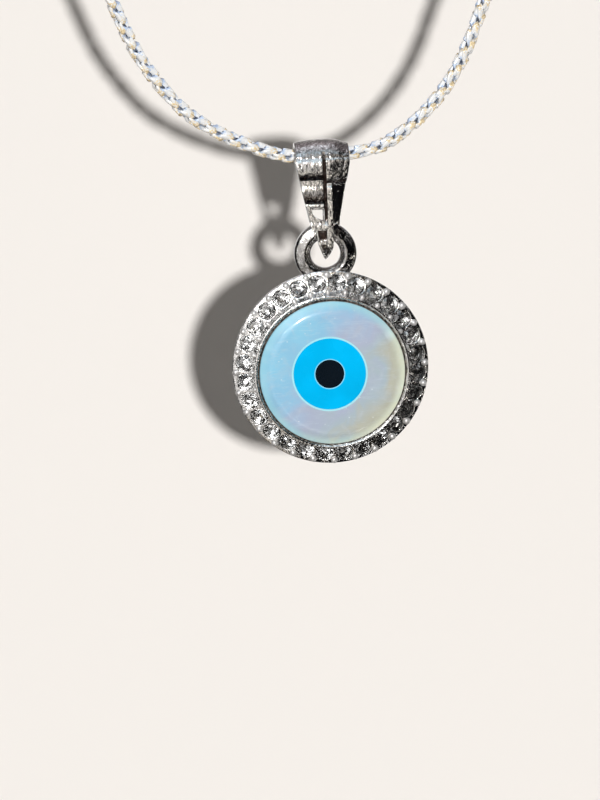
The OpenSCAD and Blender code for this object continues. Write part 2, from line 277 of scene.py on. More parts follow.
def piece(name, parts, material, body, nodes=(), shade=None):
    """Joins parts of points and blocks of faces into one object that rides on a body.

    A shade that has fewer numbers than there are points is filled up with 0 at its end.
    """
    points = np.concatenate([part[0] for part in parts])
    if shade is not None:
        shade = np.concatenate([shade, np.zeros(len(points) - len(shade))])
    starts = np.cumsum([0] + [len(part[0]) for part in parts])
    blocks = [block + start for start, part in zip(starts, parts) for block in part[1]]
    finished(new_mesh(name, points, blocks, shade), material, body, nodes)


def finished(mesh, material, body, nodes):
    """Puts a mesh in the scene with its material, its body and the nodes that it stands for."""
    dress(mesh, material)
    obj = linked(mesh.name, mesh)
    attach(obj, body)
    if nodes:
        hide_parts(*nodes)


# Shader helpers

class Shader:
    """A material's node tree with short ways to add and join its nodes."""

    def __init__(self, tree):
        self.tree = tree
        self.nodes = tree.nodes
        self.links = tree.links

    def add(self, kind, settings=None, **inputs):
        """A node of a kind, with its settings, and with inputs that are values or other nodes' outputs."""
        node = self.nodes.new(kind)
        for key, value in (settings or {}).items():
            setattr(node, key, value)
        self.put(node, **inputs)
        return node

    def put(self, node, **inputs):
        """Sets inputs, named with spaces as underscores or numbered as in_0, to values or outputs."""
        for key, value in inputs.items():
            socket = node.inputs[int(key[3:]) if key.startswith("in_") else key.replace("_", " ")]
            if isinstance(value, bpy.types.NodeSocket):
                self.links.new(value, socket)
            else:
                socket.default_value = value

    def maths(self, operation, a, b=0.0, clamp=False):
        """The output of a Math node."""
        settings = {"operation": operation, "use_clamp": clamp}
        return self.add("ShaderNodeMath", settings, in_0=a, in_1=b).outputs[0]

    def vectors(self, operation, **inputs):
        """The output of a Vector Math node, which is a number for a dot product or a length."""
        node = self.add("ShaderNodeVectorMath", {"operation": operation}, **inputs)
        return node.outputs["Value" if operation in ("DOT_PRODUCT", "LENGTH") else "Vector"]

    def ranged(self, value, low, high, to_low=0.0, to_high=1.0):
        """The output of a Map Range node with smooth ends."""
        settings = {"interpolation_type": "SMOOTHSTEP", "clamp": True}
        numbers = {"in_1": low, "in_2": high, "in_3": to_low, "in_4": to_high}
        return self.add("ShaderNodeMapRange", settings, in_0=value, **numbers).outputs[0]

    def noise(self, vector, scale, detail=2.0, roughness=0.5, distortion=0.0):
        """The value of a noise texture on a vector."""
        return self.add(
            "ShaderNodeTexNoise", Vector=vector, Scale=scale, Detail=detail, Roughness=roughness,
            Distortion=distortion,
        ).outputs[0]

    def mix(self, factor, a, b, blend="MIX"):
        """The colour output of a Mix node."""
        settings = {"data_type": "RGBA", "blend_type": blend}
        return self.add("ShaderNodeMix", settings, in_0=factor, in_6=a, in_7=b).outputs[2]

    def ramp(self, value, stops):
        """The colour output of a ramp with stops of (place, colour)."""
        node = self.add("ShaderNodeValToRGB", Fac=value)
        elements = node.color_ramp.elements
        for place, colour in stops[1:-1]:
            elements.new(place)
        for element, (place, colour) in zip(elements, stops):
            element.position = place
            element.color = (*colour, 1)
        return node.outputs[0]

    def mapped(self, kind, vector, **inputs):
        """The output of a Mapping node."""
        return self.add("ShaderNodeMapping", {"vector_type": kind}, Vector=vector, **inputs).outputs[0]

    def own_place(self, centre=EYE):
        """Object coordinates in millimetres from a centre."""
        coordinates = self.add("ShaderNodeTexCoord").outputs["Object"]
        return self.mapped("TEXTURE", coordinates, Location=Vector(centre) * MM, Scale=[MM] * 3)


def new_material(name):
    """A material, its shader helper and its Principled BSDF."""
    material = bpy.data.materials.new(name)
    material.use_nodes = True
    shader = Shader(material.node_tree)
    return material, shader, shader.nodes["Principled BSDF"]


POLISH_INPUTS = ("Base Roughness", "Smudge", "Mark Size", "Mark Depth", "Grain Depth", "Wave Depth")


def polish_group():
    """The node group for polished surfaces, which gives their roughness and their normal.

    Roughness is the base plus the smudge amount times a soft noise. The normal comes from three bumps, one
    over another: fine noise stretched along one way, as hand polishing leaves it, cast grain, and a slow
    waviness.
    """
    name = "polish marks"
    if name in bpy.data.node_groups:
        return bpy.data.node_groups[name]
    group = bpy.data.node_groups.new(name, "ShaderNodeTree")
    for label, default in zip(POLISH_INPUTS, (0.06, 0.05, 1.0, 0.1, 0.1, 0.1)):
        socket = group.interface.new_socket(label, in_out="INPUT", socket_type="NodeSocketFloat")
        socket.default_value = default
    group.interface.new_socket("Roughness", in_out="OUTPUT", socket_type="NodeSocketFloat")
    group.interface.new_socket("Normal", in_out="OUTPUT", socket_type="NodeSocketVector")
    shader = Shader(group)
    given = shader.add("NodeGroupInput").outputs
    result = shader.add("NodeGroupOutput")
    place = shader.add("ShaderNodeTexCoord").outputs["Object"]
    sized = shader.vectors("SCALE", in_0=place, Scale=given["Mark Size"])
    smudge = shader.noise(sized, 1400, 3)
    roughness = shader.maths("MULTIPLY_ADD", shader.ranged(smudge, 0.35, 0.75), given["Smudge"])
    shader.put(roughness.node, in_2=given["Base Roughness"])
    stretched = shader.mapped("POINT", sized, Scale=(1, 1, 5), Rotation=(0.4, 0.9, 0.3))
    normal = None
    for label, vector, scale, detail, depth in (
        ("Mark Depth", stretched, 6000, 1, 0.00002), ("Grain Depth", sized, 4200, 2, 0.00007),
        ("Wave Depth", sized, 1300, 1, 0.0001),
    ):
        height = shader.noise(vector, scale, detail, 0.6)
        bump = shader.add("ShaderNodeBump", Strength=given[label], Distance=depth, Height=height)
        if normal:
            shader.put(bump, Normal=normal)
        normal = bump.outputs[0]
    shader.put(result, Roughness=roughness, Normal=normal)
    return group


def polished(shader, bsdf, amounts):
    """Places the polish group in a material, with amounts for its inputs, and joins it to the shader."""
    group = shader.add("ShaderNodeGroup", {"node_tree": polish_group()})
    for label, value in zip(POLISH_INPUTS, amounts):
        group.inputs[label].default_value = value
    shader.put(bsdf, Roughness=group.outputs["Roughness"], Normal=group.outputs["Normal"])


# Materials

# Ramps that colour a silver by the shade that its mesh keeps. The body's is painted shade, darkening to
# brown.
# The wire's paints shade at the fold of a lobe, a blue reflection low on it and a gold reflection at its tip,
# which darkens again into painted shade where the shade is fullest.
PAINTED_SHADE = [(0.0, (1.0, 1.0, 1.0)), (1.0, (0.07, 0.045, 0.038))]
WIRE_PAINTED_LIGHT = [
    (0.1, (0.40, 0.45, 0.60)), (0.22, (0.62, 0.76, 1.0)), (0.34, (1.0, 1.0, 1.0)), (0.56, (1.0, 1.0, 1.0)),
    (0.78, (1.0, 0.78, 0.45)), (1.0, (0.62, 0.5, 0.32)),
]
# Each silver's colour, its metallic value, the colour's share in its darkest clouds, its amounts of polish
# and its ramp of painted shade, which on the wire paints reflections too. The polished one is the body's,
# the satin one is the beads', as the graver leaves them.
SILVERS = {
    "polished silver": ("silver", 1.0, 0.8, (0.07, 0.06, 1.0, 0.12, 0.7, 0.5), PAINTED_SHADE),
    "satin silver": ("silver", 0.72, 0.9, (0.42, 0.08, 1.0, 0.05, 0.1, 0.1), PAINTED_SHADE),
    "drawn silver wire": ("wire", 0.12, 0.97, (0.2, 0.1, 1.5, 0.1, 0.25, 0.1), WIRE_PAINTED_LIGHT),
}


def silver_material(name):
    """Rhodium-bright silver, faintly clouded, with polishing marks and a grain."""
    if name in bpy.data.materials:
        return bpy.data.materials[name]
    setting, metallic, dulled, amounts, shades = SILVERS[name]
    colour = getattr(bpy.context.scene.pendant_colours, setting)
    material, shader, bsdf = new_material(name)
    place = shader.own_place()
    cloud = shader.noise(place, 2.5, 4)
    tone = shader.mix(shader.ranged(cloud, 0.3, 0.7), [dulled * c for c in colour[:3]] + [1], list(colour))
    mottle = shader.ranged(shader.noise(place, 5.5, 3), 0.35, 0.65, 0.6, 1.0)
    # The mesh's shade, broken up by noise, runs through the ramp as painted shade.
    kept = shader.add("ShaderNodeAttribute", {"attribute_name": "shade"}).outputs["Fac"]
    shade = shader.ramp(shader.maths("MULTIPLY", kept, mottle, clamp=True), shades)
    shader.put(bsdf, Metallic=metallic, Base_Color=shader.mix(1.0, tone, shade, "MULTIPLY"))
    polished(shader, bsdf, amounts)
    return material


def stone_material():
    """Cut white stone: clear, bright and highly refracting.

    Its small facets are cells whose normal leans by a chance amount from the surface's own.
    """
    material, shader, bsdf = new_material("white stone")
    shader.put(bsdf, Base_Color=(0.93, 0.95, 0.96, 1), Transmission_Weight=1.0, IOR=2.2, Metallic=0.0)
    place = shader.own_place()
    dust = shader.noise(place, 5.0, 2)
    cells = shader.add("ShaderNodeTexVoronoi", Vector=place, Scale=3.2).outputs["Color"]
    lean = shader.vectors("SUBTRACT", in_0=cells, in_1=(0.5, 0.5, 0.5))
    straight = shader.add("ShaderNodeNewGeometry").outputs["Normal"]
    leant = shader.vectors("MULTIPLY_ADD", in_0=lean, in_1=(0.6, 0.6, 0.6), in_2=straight)
    normal = shader.vectors("NORMALIZE", in_0=leant)
    shader.put(bsdf, Roughness=shader.ranged(dust, 0.4, 0.8, 0.0, 0.03), Normal=normal)
    return material


def inlay_distance(shader):
    """The distance from the axis of the two inlays, in millimetres."""
    place = shader.own_place((INLAY_X, 0, EYE_Z))
    split = shader.add("ShaderNodeSeparateXYZ", Vector=place)
    flat = shader.add("ShaderNodeCombineXYZ", X=split.outputs["X"], Z=split.outputs["Z"])
    return shader.vectors("LENGTH", in_0=flat.outputs[0])


def ringed(shader, radius, width, softness):
    """A mask that is 1 on a thin ring round the inlays' axis and 0 off it."""
    off = shader.maths("ABSOLUTE", shader.maths("SUBTRACT", inlay_distance(shader), radius))
    return shader.ranged(off, width / 2, width / 2 + softness, 1, 0)


def shell_material():
    """Mother-of-pearl: a sheen that goes from sky blue through lilac grey to straw yellow, in soft clouds.

    The colour follows a slanting distance across the disc, bent by noise. Milky clouds, faint growth lines
    and a few pale flecks lie over it, the bevelled rim is lifted towards pale cyan as a painted highlight,
    and the wall below the rim is painted dark brown with specks, as painted shade.
    """
    material, shader, bsdf = new_material("mother of pearl")
    place = shader.own_place()
    split = shader.add("ShaderNodeSeparateXYZ", Vector=place)
    x, y, z = split.outputs["X"], split.outputs["Y"], split.outputs["Z"]
    bend = shader.noise(place, 0.3, 3, 0.5, 0.8)
    slant = shader.maths("SUBTRACT", shader.maths("MULTIPLY", x, 0.07), shader.maths("MULTIPLY", z, 0.045))
    drift = shader.maths("MULTIPLY", shader.maths("SUBTRACT", bend, 0.5), 0.7)
    across = shader.maths("ADD", shader.maths("ADD", slant, drift), 0.5, clamp=True)
    sheen = shader.ramp(across, [
        (0.0, (0.30, 0.66, 0.86)), (0.25, (0.30, 0.59, 0.80)), (0.42, (0.39, 0.55, 0.74)),
        (0.58, (0.45, 0.50, 0.63)), (0.72, (0.44, 0.53, 0.58)), (0.86, (0.51, 0.51, 0.42)),
        (1.0, (0.60, 0.62, 0.48)),
    ])
    milk = shader.noise(place, 0.75, 4, 0.6, 1.5)
    milky = shader.mix(shader.ranged(milk, 0.45, 0.8, 0, 0.3), sheen, (0.62, 0.66, 0.72, 1))
    grown = shader.mapped("POINT", place, Scale=(0.35, 1, 2.2), Rotation=(0, 0.6, 0))
    lines = shader.noise(grown, 1.6, 5, 0.65, 1.2)
    layered = shader.mix(shader.ranged(lines, 0.5, 0.75, 0, 0.22), milky, (0.75, 0.86, 0.92, 1))
    spots = shader.add("ShaderNodeTexVoronoi", Vector=place, Scale=1.15).outputs["Distance"]
    flecked = shader.mix(shader.ranged(spots, 0.03, 0.09, 0.5, 0), layered, (0.9, 0.95, 0.97, 1))
    # The bevelled rim is lifted towards pale cyan and straw: a painted highlight.
    rim = shader.ranged(y, DISC_LOW[1] + 0.04, DISC_LOW[1] + 0.4, 0, 0.6)
    pale = shader.ramp(across, [
        (0.0, (0.36, 0.74, 0.88)), (0.5, (0.42, 0.78, 0.80)), (1.0, (0.92, 0.94, 0.72)),
    ])
    rim_highlighted = shader.mix(rim, flecked, pale)
    # A pale ring round the iris is a painted highlight, as if its edge caught the light.
    edge = ringed(shader, IRIS_R + 0.06, 0.1, 0.07)
    iris_highlighted = shader.mix(shader.maths("MULTIPLY", edge, 0.85), rim_highlighted, (0.45, 0.93, 1.0, 1))
    # The wall below the rim is painted dark brown with specks: painted shade inside the bezel.
    wall_shade_mask = shader.ranged(y, DISC_LOW[1] + BEVEL_H, DISC_LOW[1] + BEVEL_H + 0.07)
    specks = shader.ranged(shader.noise(place, 5.0, 3), 0.4, 0.65)
    painted_wall_shade = shader.mix(specks, (0.03, 0.022, 0.02, 1), (0.5, 0.42, 0.36, 1))
    shader.put(bsdf, Base_Color=shader.mix(wall_shade_mask, iris_highlighted, painted_wall_shade), Coat_Weight=0.8, Coat_Roughness=0.1)
    polished(shader, bsdf, (0.28, 0.1, 0.5, 0.04, 0.02, 0.03))
    return material


def inlay_material(name, colour, highlight_radius, highlight_colour, gloss):
    """A polished stone inlay, faintly clouded, with a pale line where it meets its neighbour."""
    material, shader, bsdf = new_material(name)
    cloud = shader.noise(shader.own_place(), 0.35, 2)
    deep = [0.85 * c for c in colour[:3]] + [1]
    tone = shader.mix(shader.ranged(cloud, 0.25, 0.75), deep, list(colour))
    # The pale line is a painted highlight, as if the inlay's edge caught the light.
    line = ringed(shader, highlight_radius, 0.06, 0.05)
    shader.put(
        bsdf, Base_Color=shader.mix(line, tone, highlight_colour), Specular_IOR_Level=gloss, Coat_Weight=gloss,
        Coat_Roughness=0.03,
    )
    polished(shader, bsdf, (0.25, 0.05, 0.5, 0.03, 0.02, 0.02))
    return material


# Chain

def chain_line(spacing):
    """Points, headings and up vectors at an even spacing along the chain, as a curve through its route.

    Between two points of the route the curve is the Catmull-Rom cubic through them and their neighbours. Its
    length is summed over fine steps, and the even points are read off that sum.
    """
    ends = 2 * CHAIN_ROUTE[[0, -1]] - CHAIN_ROUTE[[1, -2]]
    route = np.concatenate([ends[:1], CHAIN_ROUTE, ends[1:]])
    a, b, c, d = route[:-3, None], route[1:-2, None], route[2:-1, None], route[3:, None]
    t = np.linspace(0, 1, 64, endpoint=False)[None, :, None]
    square, cube = 2 * a - 5 * b + 4 * c - d, 3 * b - a - 3 * c + d
    curve = 0.5 * (2 * b + (c - a) * t + square * t ** 2 + cube * t ** 3)
    curve = np.concatenate([curve.reshape(-1, 2), CHAIN_ROUTE[-1:]])
    run = np.concatenate([[0], np.cumsum(np.linalg.norm(np.diff(curve, axis=0), axis=1))])
    count = int(run[-1] / spacing)
    margin = (run[-1] - (count - 1) * spacing) / 2
    at = margin + spacing * np.arange(count)
    x, z = np.interp(at, run, curve[:, 0]), np.interp(at, run, curve[:, 1])
    points = np.stack([x, 0 * x, z + BAIL_Z], -1)
    heading = np.gradient(points, axis=0)
    heading /= np.linalg.norm(heading, axis=1, keepdims=True)
    up = np.stack([-heading[:, 2], 0 * x, heading[:, 0]], -1)
    return points, heading, up


def chain_links(pitch, wire):
    """Folded links of a woven chain.

    A link is an oval loop of wire folded up in a U. With s = |sin t|, its middle line is U sin(1.9 s^0.8)
    across the chain, on the side that sin t gives, V cos(t) the other way across, and W s^1.3 along it, so
    that its two lobes point along the chain and lie on either side. Each link is turned a quarter about the
    chain from the last. The whole chain is then twisted about its line by an angle that grows evenly along
    it, so that the lobes slant. The wire is flattened, 1.6 times as wide across a lobe as it is thick. The
    third result, the shade, goes from 0 at the fold to 1 at a lobe's tip, less a share of the height above
    the chain's line. The wire's ramp turns it into painted shade at the fold, painted blue reflections low on
    a lobe and on the chain's upper side, and painted gold reflections at the tips, darker on its lower side.
    """
    reach, breadth, rise, steps, sides = 0.35, 0.17, 1.4, 18, 6
    twist = math.radians(-20)
    points, heading, up = chain_line(pitch)
    side = np.cross(heading, up)
    link = np.arange(len(points))
    quarter = np.pi / 4 + np.pi / 2 * (link % 2) + twist * link
    u_way = np.cos(quarter)[:, None] * up + np.sin(quarter)[:, None] * side
    v_way = -np.sin(quarter)[:, None] * up + np.cos(quarter)[:, None] * side
    t = (np.arange(steps) + 0.5) * 2 * np.pi / steps
    s = np.abs(np.sin(t))
    u = reach * np.sign(np.sin(t)) * np.sin(1.9 * s ** 0.8)
    v = breadth * np.cos(t)
    w = rise * s ** 1.3 - rise / 2
    turn = twist * w / pitch
    local = np.stack([u * np.cos(turn) - v * np.sin(turn), u * np.sin(turn) + v * np.cos(turn), w], -1)
    frames = np.stack([u_way, v_way, heading], 1)
    centres = points[:, None] + np.einsum("si,kij->ksj", local, frames)
    run = np.roll(local, -1, 0) - np.roll(local, 1, 0)
    run /= np.linalg.norm(run, axis=1, keepdims=True)
    out = np.stack([u * np.cos(turn), u * np.sin(turn), 0 * t + 1], -1)
    first = np.cross(run, out)
    first /= np.linalg.norm(first, axis=1, keepdims=True)
    second = np.cross(run, first)
    across = 1.3 * np.einsum("si,kij->ksj", first, frames)
    along = 0.8 * np.einsum("si,kij->ksj", second, frames)
    # The height lowers the shade on the chain's upper side, for painted blue reflections there and gold
    # below.
    height = np.einsum("ksj,kj->ks", centres - points[:, None], up) / (2 * reach)
    shade = np.repeat(w / rise + 0.5 - 0.3 * height, sides)
    return (*swept_loops(centres, across, along, wire, sides), np.clip(shade, 0, 1))


class PENDANT_OT_chain(bpy.types.Operator):
    """Weave the chain's links along its route"""

    bl_idname = "pendant.chain"
    bl_label = "Woven chain"

    def execute(self, context):
        sizes = context.scene.pendant_sizes
        *links, shade = chain_links(sizes.link_pitch / MM, sizes.link_wire / MM)
        silver = silver_material("drawn silver wire")
        piece("woven_chain", [links], silver, "root", ["chain"], shade)
        return {"FINISHED"}


# Clasp

class PENDANT_OT_clasp(bpy.types.Operator):
    """Turn the barrel clasp at the top of the chain"""

    bl_idname = "pendant.clasp"
    bl_label = "Barrel clasp"

    def execute(self, context):
        half, radius = CLASP_HIGH[0], CLASP_HIGH[2]
        neck, groove, shoulder, collar = 0.72, 0.2, 0.5, 0.8
        end = [(0, -half), (neck, -half), (radius, shoulder - half), (radius, shoulder + collar - half),
               (radius - groove, shoulder + collar + groove - half)]
        mirrored = [(r, -y) for r, y in reversed(end)]
        along_x = [[0, 1, 0], [-1, 0, 0], [0, 0, 1]]
        body = moved(lathe(filleted(end + mirrored, 0.15), CLASP_STEPS), (0, 0, 0), along_x)
        piece("barrel_clasp", [body], silver_material("polished silver"), "root", ["clasp"])
        return {"FINISHED"}


# Bail

# Sizes of the folded strip, in millimetres, heights measured up from the chain in the bail: its thickness,
# the middle of its arch, the inside of the loop that holds the ring, the front's foot and the bar under it.
STRIP_T, ARCH_Z, LOOP_R, DROP, BAR_T = 0.5, -0.5, 0.8, 5.67, 0.15
ARCH_R = BAIL_TOP - ARCH_Z - STRIP_T
FOOT_R = LOOP_R + STRIP_T
SEAT_Z, TIP_Z = BAIL_TIP + 1.4, BAIL_TIP
LOOP_Z = SEAT_Z + LOOP_R
LEAN = math.asin((ARCH_R - LOOP_R) / (ARCH_Z - LOOP_Z))
RIB_H, GROOVE_X, GROOVE_W, GROOVE_T, SPINE_X = 0.24, 0.1, 0.25, 0.28, 0.645
WINDOW_Z, WINDOW_W, WINDOW_H, WINDOW_FALL = 0.38 - DROP, 1.0, 1.05, 0.56
# How deep the tongue's panel is, its point as a share of that, and the width of the rim round them.
HOLLOW_T, POINT_SHARE, RIM_W = 0.18, 0.99, 0.17
# The top of the bar under the front's foot, the panel's foot, and how wide the relief's steps are.
BAR_TOP, PANEL_FOOT, STEP_W = 0.25 - DROP, SEAT_Z + 0.32, 0.06
# Points along the path's two arcs.
ARCH_ROWS, FOOT_ROWS = 40, 70


def rib_z(share):
    """The height of a share of the way from the arch down to the window."""
    return ARCH_Z + share * (WINDOW_Z + WINDOW_H + 0.1 - ARCH_Z)


# Each rib's top, its foot, how far it stands proud and the share of it, from the foot, that takes painted
# shade.
RIBS = [
    (rib_z(-0.12), rib_z(0.36), RIB_H, 0.45), (rib_z(0.5), rib_z(0.9), RIB_H, 1.0),
    (rib_z(0.9), rib_z(1), RIB_H / 2, 0),
]
FACET_TOP, FACET_FOOT = rib_z(-0.12), rib_z(0.44)


def smooth(low, high, value):
    """0 below low and 1 above high, with the cubic 3t^2 - 2t^3 between them."""
    t = np.clip((value - low) / (high - low), 0, 1)
    return t * t * (3 - 2 * t)


def between(low, high, value, soft):
    """1 between two bounds and 0 outside them, with soft steps of a given width centred on the bounds."""
    rising = smooth(low - soft / 2, low + soft / 2, value)
    return rising * (1 - smooth(high - soft / 2, high + soft / 2, value))


def half_width(z):
    """Half the bail's width at a height, as straight lines between the corners of its front outline."""
    heights = [TIP_Z, SEAT_Z, -DROP - BAR_T - 0.05, -DROP - BAR_T, -DROP, ARCH_Z, 9]
    return np.interp(z, heights, [0.1, 0.6, 0.8, 1.15, 1.15, 2.2, 2.2])


def bail_relief(x, z, front):
    """How far the bail's outer face stands proud at (x, z), in millimetres.

    A rib between heights a and b rises as h (4t(1-t))^0.85 with t = (z-a)/(b-a). The ribs lie left of the
    groove, and one long facet, with a low lip at its foot, lies right of it. The spine runs down beside the
    groove and stands a little prouder at its right edge, the groove is a sunk step, and the tongue has two
    hollows inside its rim. front is 1 on the front of the strip and 0 elsewhere. The second result is painted
    shade, which fills the groove and the hollows, lies at the feet of the ribs and of the facet, and darkens
    the arch.
    """
    left = 1 - smooth(GROOVE_X - 0.16, GROOVE_X - 0.1, x)
    right = smooth(GROOVE_X + 0.1, GROOVE_X + 0.16, x)
    height = 0 * x
    foot_shade = 0 * x
    facets = [(FACET_FOOT, FACET_TOP, 0.16, 0.2, right), (rib_z(0.5), FACET_FOOT, 0.06, 0, right)]
    for foot, top, rise, shaded_share, side in [(b, a, h, s, left) for a, b, h, s in RIBS] + facets:
        t = np.clip((z - foot) / (top - foot), 0, 1)
        height = height + side * rise * (4 * t * (1 - t)) ** 0.85
        # The lower part of each rib and of the facet takes painted shade, as it faces down away from the
        # light.
        foot_shade = foot_shade + side * (t > 0) * (1 - smooth(0.4 * shaded_share, shaded_share + 0.01, t))
    bar = between(-DROP - BAR_T, BAR_TOP, z, STEP_W)
    spine = between(GROOVE_X, SPINE_X, x, STEP_W) * smooth(FACET_FOOT, FACET_FOOT - 0.4, z)
    lean = 0.15 * (x - GROOVE_X) / (SPINE_X - GROOVE_X)
    height = np.maximum(height, RIB_H * np.maximum(bar, spine * (1 + lean) * smooth(TIP_Z, SEAT_Z, z)))
    groove = between(GROOVE_X - GROOVE_W / 2, GROOVE_X + GROOVE_W / 2, x, 0.05)
    groove = groove * smooth(-DROP + 0.27, -DROP + 0.33, z) * (1 - smooth(-0.6, 0.6, z))
    width = half_width(z)
    panel = between(PANEL_FOOT, -DROP - BAR_T - 0.03, z, STEP_W)
    panel = panel * between(RIM_W - width, GROOVE_X, x, STEP_W)
    point = between(TIP_Z + 0.3, SEAT_Z, z, STEP_W) * smooth(RIM_W, RIM_W + STEP_W, width - np.abs(x))
    hollow = np.maximum(panel, POINT_SHARE * point)
    sunk = height * (1 - groove) * (1 - hollow) - GROOVE_T * groove - HOLLOW_T * hollow
    # Painted shade in the groove, the hollows and at the feet, and on the next line over the arch.
    dark = np.max([1.4 * groove, 1.3 * panel, 1.1 * point, 1.1 * foot_shade * (1 - spine)], axis=0)
    return front * sunk, np.maximum(front * dark, 0.6 * smooth(FACET_TOP, FACET_TOP + 0.05, z))


def bail_rows():
    """The strip's path in its side view, and a mask of the front.

    A row is (outer y, outer z, inner y, inner z). The path is two arcs joined by straight sides. An arc's
    point at angle a is its centre plus r (cos a, sin a), and the inner and the outer arc share their angles.
    Rows crowd in at the heights where the relief steps.
    """
    steps = [edge for rib in RIBS for edge in rib[:2]]
    steps += [FACET_FOOT, BAR_TOP, -DROP - BAR_T, PANEL_FOOT]
    share = np.concatenate([np.linspace(0, 1, 150)] + [
        (ARCH_Z - z + offset) / (ARCH_Z - LOOP_Z) for z in steps for offset in [np.linspace(-0.06, 0.06, 7)]
    ])
    share = np.unique(np.round(share[(share >= 0) & (share <= 1)], 4))[1:-1, None]

    def arc(centres, radii, start, end, count):
        angle = np.linspace(start, end, count)[:, None]
        ring = np.concatenate([np.cos(angle), np.sin(angle)], 1)
        return np.concatenate([centre + radius * ring for centre, radius in zip(centres, radii)], 1)

    arch = [(0, ARCH_Z), (0, ARCH_Z)], (ARCH_R + STRIP_T, ARCH_R)
    foot = [(0, TIP_Z + FOOT_R), (0, LOOP_Z)], (FOOT_R, LOOP_R)
    front_arch = arc(*arch, np.pi / 2, np.pi + LEAN, ARCH_ROWS)
    bottom = arc(*foot, np.pi + LEAN, 2 * np.pi - LEAN, FOOT_ROWS)
    back_arch = arc(*arch, -LEAN, np.pi / 2, ARCH_ROWS)[:-1]
    down = front_arch[-1] + share * (bottom[0] - front_arch[-1])
    up = bottom[-1] + np.linspace(0, 1, 60)[1:-1, None] * (back_arch[0] - bottom[-1])
    rows = np.concatenate([front_arch, down, bottom, up, back_arch])
    front = np.concatenate([
        smooth(0.5, 2.2, np.linspace(np.pi / 2, np.pi + LEAN, ARCH_ROWS)), np.ones(len(down)),
        1 - smooth(np.pi * 1.35, np.pi * 1.5, np.linspace(np.pi + LEAN, 2 * np.pi - LEAN, FOOT_ROWS)),
        np.zeros(len(up) + len(back_arch)),
    ])
    return rows, front


def bail_strip(corner):
    """The folded strip: a rounded rectangle carried along the path of its side view.

    A point of the rectangle is given by q, which runs from 0 on the inner to 1 on the outer face, and by x.
    Its place is I + q (O - I), where O and I are the row's outer and inner points, and its half width is that
    of the height that it comes to. Quarter circles of radius c join the faces. The outer face is then raised
    by the relief along the row's outward direction, its middle is crowned along X by 0.05 (1 - (x/w)^2), more
    on the arch, and right of the spine it slopes away, four times as steeply below the facet as on it.
    """
    rows, front = bail_rows()
    outer, inner = rows[:, :2], rows[:, 2:]
    depth = np.linalg.norm(outer - inner, axis=1)[:, None]
    wide = half_width(outer[:, 1:2]) - corner
    middle = np.minimum(1, wide / 0.75)
    knots = np.array([
        -0.1, GROOVE_X - 0.18, GROOVE_X - 0.08, GROOVE_X + 0.08, GROOVE_X + 0.18, SPINE_X - 0.04,
        SPINE_X + 0.04,
    ])
    counts = (26, 4, 6, 6, 4, 8, 6, 26)
    marks = np.concatenate([-wide, knots * middle, wide], 1)
    face = np.concatenate([
        marks[:, i:i + 1] + np.linspace(0, 1, n, endpoint=False) * (marks[:, i + 1:i + 2] - marks[:, i:i + 1])
        for i, n in enumerate(counts)
    ] + [wide], 1)
    turn = np.linspace(0, np.pi / 2, 5)[1:]
    c, one = corner / depth, np.ones((len(rows), 1))
    side = np.linspace(0, 1, 8)[1:]
    back = np.linspace(1, -1, 24)[1:]
    q = [one * np.ones(face.shape[1]), 1 - c * (1 - np.cos(turn)), 1 - c + (2 * c - 1) * side,
         c * (1 - np.sin(turn)), np.zeros((len(rows), len(back)))]
    q += [c * (1 - np.cos(turn)), c + (1 - 2 * c) * side, (1 - c * (1 - np.sin(turn)))[:, :-1]]
    q = np.concatenate(q, 1)
    shares = [0 * face, 1 + 0 * turn, 1 + 0 * side, 1 + 0 * turn, back, -1 + 0 * turn, -1 + 0 * side,
              -1 + 0 * turn[:-1]]
    extra = [0 * face, np.sin(turn), 1 + 0 * side, np.cos(turn), 0 * back, -np.sin(turn), -1 + 0 * side,
             -np.cos(turn[:-1])]
    shares, extra = [np.concatenate([one * part for part in parts], 1) for parts in (shares, extra)]
    yz = inner[:, None] + q[:, :, None] * (outer - inner)[:, None]
    x = shares * (half_width(yz[:, :, 1]) - corner) + extra * corner
    x[:, :face.shape[1]] = face
    out = (outer - inner) / depth
    width = half_width(yz[:, :, 1])
    fall = 0.06 + 0.2 * smooth(FACET_FOOT + 0.05, FACET_FOOT - 0.05, yz[:, :, 1])
    arch = smooth(0, 1.2, yz[:, :, 1])
    crown = 0.05 - (0.05 + 0.12 * arch) * (x / width) ** 2 - 0.15 * arch * smooth(1, 2.2, x)
    crown = crown - fall * np.clip(x - SPINE_X, 0, None)
    relief, dark = bail_relief(x, yz[:, :, 1], front[:, None])
    rise = relief * smooth(0.5, 0.9, q) + crown * q
    yz = yz + rise[:, :, None] * out[:, None]
    points = np.stack([x, yz[:, :, 0], yz[:, :, 1] + BAIL_Z], -1).reshape(-1, 3)
    return points, outward(points, [grid_faces(*x.shape, wrap_rows=True)]), dark * (q > 0.5)


def window_plug(front):
    """The window's cutter, through the front of the strip or, a little lower, through its back.

    It is a quarter of an oval, with its straight sides on top and beside the groove.
    """
    a = np.linspace(np.pi, 1.5 * np.pi, 20)
    x = GROOVE_X - GROOVE_W / 2 + np.concatenate([[0], WINDOW_W * np.cos(a)])
    z = BAIL_Z + WINDOW_Z + WINDOW_H + np.concatenate([[0], WINDOW_H * np.sin(a)])
    ends = [np.stack([x, 0 * x + y, z], -1) for y in (-4, 0)]
    n = len(x)
    faces = [np.arange(n)[None], n + np.arange(n)[None, ::-1]]
    i = np.arange(n)
    faces.append(np.stack([i, n + i, n + (i + 1) % n, (i + 1) % n], -1))
    points = np.concatenate(ends) + ([0, 0, 0] if front else [0, 4, -WINDOW_FALL])
    return points, outward(points, faces)


